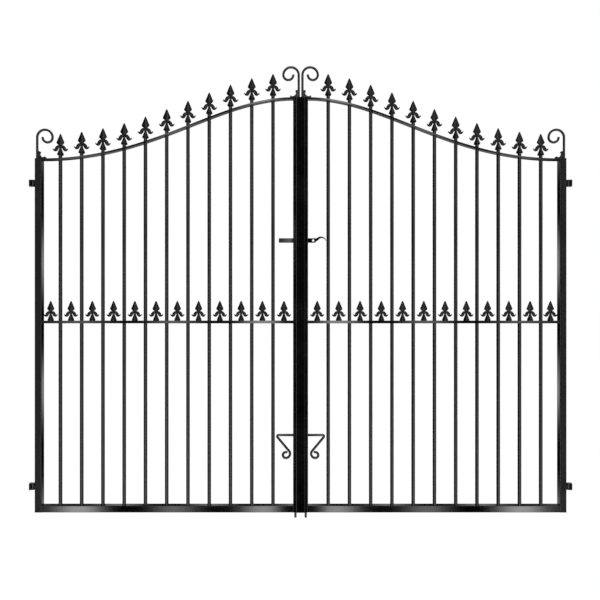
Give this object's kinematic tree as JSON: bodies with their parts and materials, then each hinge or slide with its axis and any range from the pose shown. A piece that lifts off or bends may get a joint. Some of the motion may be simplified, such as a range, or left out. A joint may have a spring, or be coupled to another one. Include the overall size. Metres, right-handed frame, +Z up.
{
  "type": "double driveway gate",
  "caption": "Bell-curved wrought iron driveway gate: hinged leaves of round pickets with spear heads, scrolls, a slide latch and drop bolts.",
  "frame": {"origin": "middle of the lower left hinge bracket's back face, where it is welded to the post", "axes": "+X across the opening from the left bracket to the right, +Y into the drive (the way the leaves open), +Z up"},
  "size_m": [2.4, 0.06, 2.0051],
  "materials": {
    "black_gloss": "gloss black paint"
  },
  "bodies": {
    "hinge_brackets": {"left_hinge_brackets": "black_gloss", "left_hinge_pins": "black_gloss", "right_hinge_brackets": "black_gloss", "right_hinge_pins": "black_gloss"},
    "left_leaf": {"left_hinge_stile": "black_gloss", "left_meeting_stile": "black_gloss", "left_stile_caps": "black_gloss", "left_bottom_rail": "black_gloss", "left_mid_rail": "black_gloss", "left_top_rail": "black_gloss", "left_pickets": "black_gloss", "left_top_heads": "black_gloss", "left_mid_heads": "black_gloss", "left_scrolls": "black_gloss", "left_scroll_feet": "black_gloss", "left_hinge_eyes": "black_gloss", "left_bolt_guides": "black_gloss", "left_cover_strip": "black_gloss", "left_latch_keep": "black_gloss"},
    "right_leaf": {"right_hinge_stile": "black_gloss", "right_meeting_stile": "black_gloss", "right_stile_caps": "black_gloss", "right_bottom_rail": "black_gloss", "right_mid_rail": "black_gloss", "right_top_rail": "black_gloss", "right_pickets": "black_gloss", "right_top_heads": "black_gloss", "right_mid_heads": "black_gloss", "right_scrolls": "black_gloss", "right_scroll_feet": "black_gloss", "right_hinge_eyes": "black_gloss", "right_bolt_guides": "black_gloss", "right_latch_guide": "black_gloss"},
    "left_drop_bolt": {"left_drop_bolt": "black_gloss"},
    "right_drop_bolt": {"right_drop_bolt": "black_gloss"},
    "slide_latch": {"slide_latch": "black_gloss"}
  },
  "joints": [
    {"name": "left_leaf_hinge", "type": "hinge", "parent": "hinge_brackets", "child": "left_leaf", "pos_m": [0.015, 0, 0], "axis": [0, 0, 1], "range_deg": [0, 90]},
    {"name": "right_leaf_hinge", "type": "hinge", "parent": "hinge_brackets", "child": "right_leaf", "pos_m": [2.385, 0, 0], "axis": [0, 0, -1], "range_deg": [0, 90]},
    {"name": "left_bolt_slide", "type": "slide", "parent": "left_leaf", "child": "left_drop_bolt", "axis": [0, 0, 1], "range_m": [0, 0.075]},
    {"name": "right_bolt_slide", "type": "slide", "parent": "right_leaf", "child": "right_drop_bolt", "axis": [0, 0, 1], "range_m": [0, 0.075]},
    {"name": "latch_slide", "type": "slide", "parent": "right_leaf", "child": "slide_latch", "axis": [1, 0, 0], "range_m": [0, 0.105]}
  ]
}
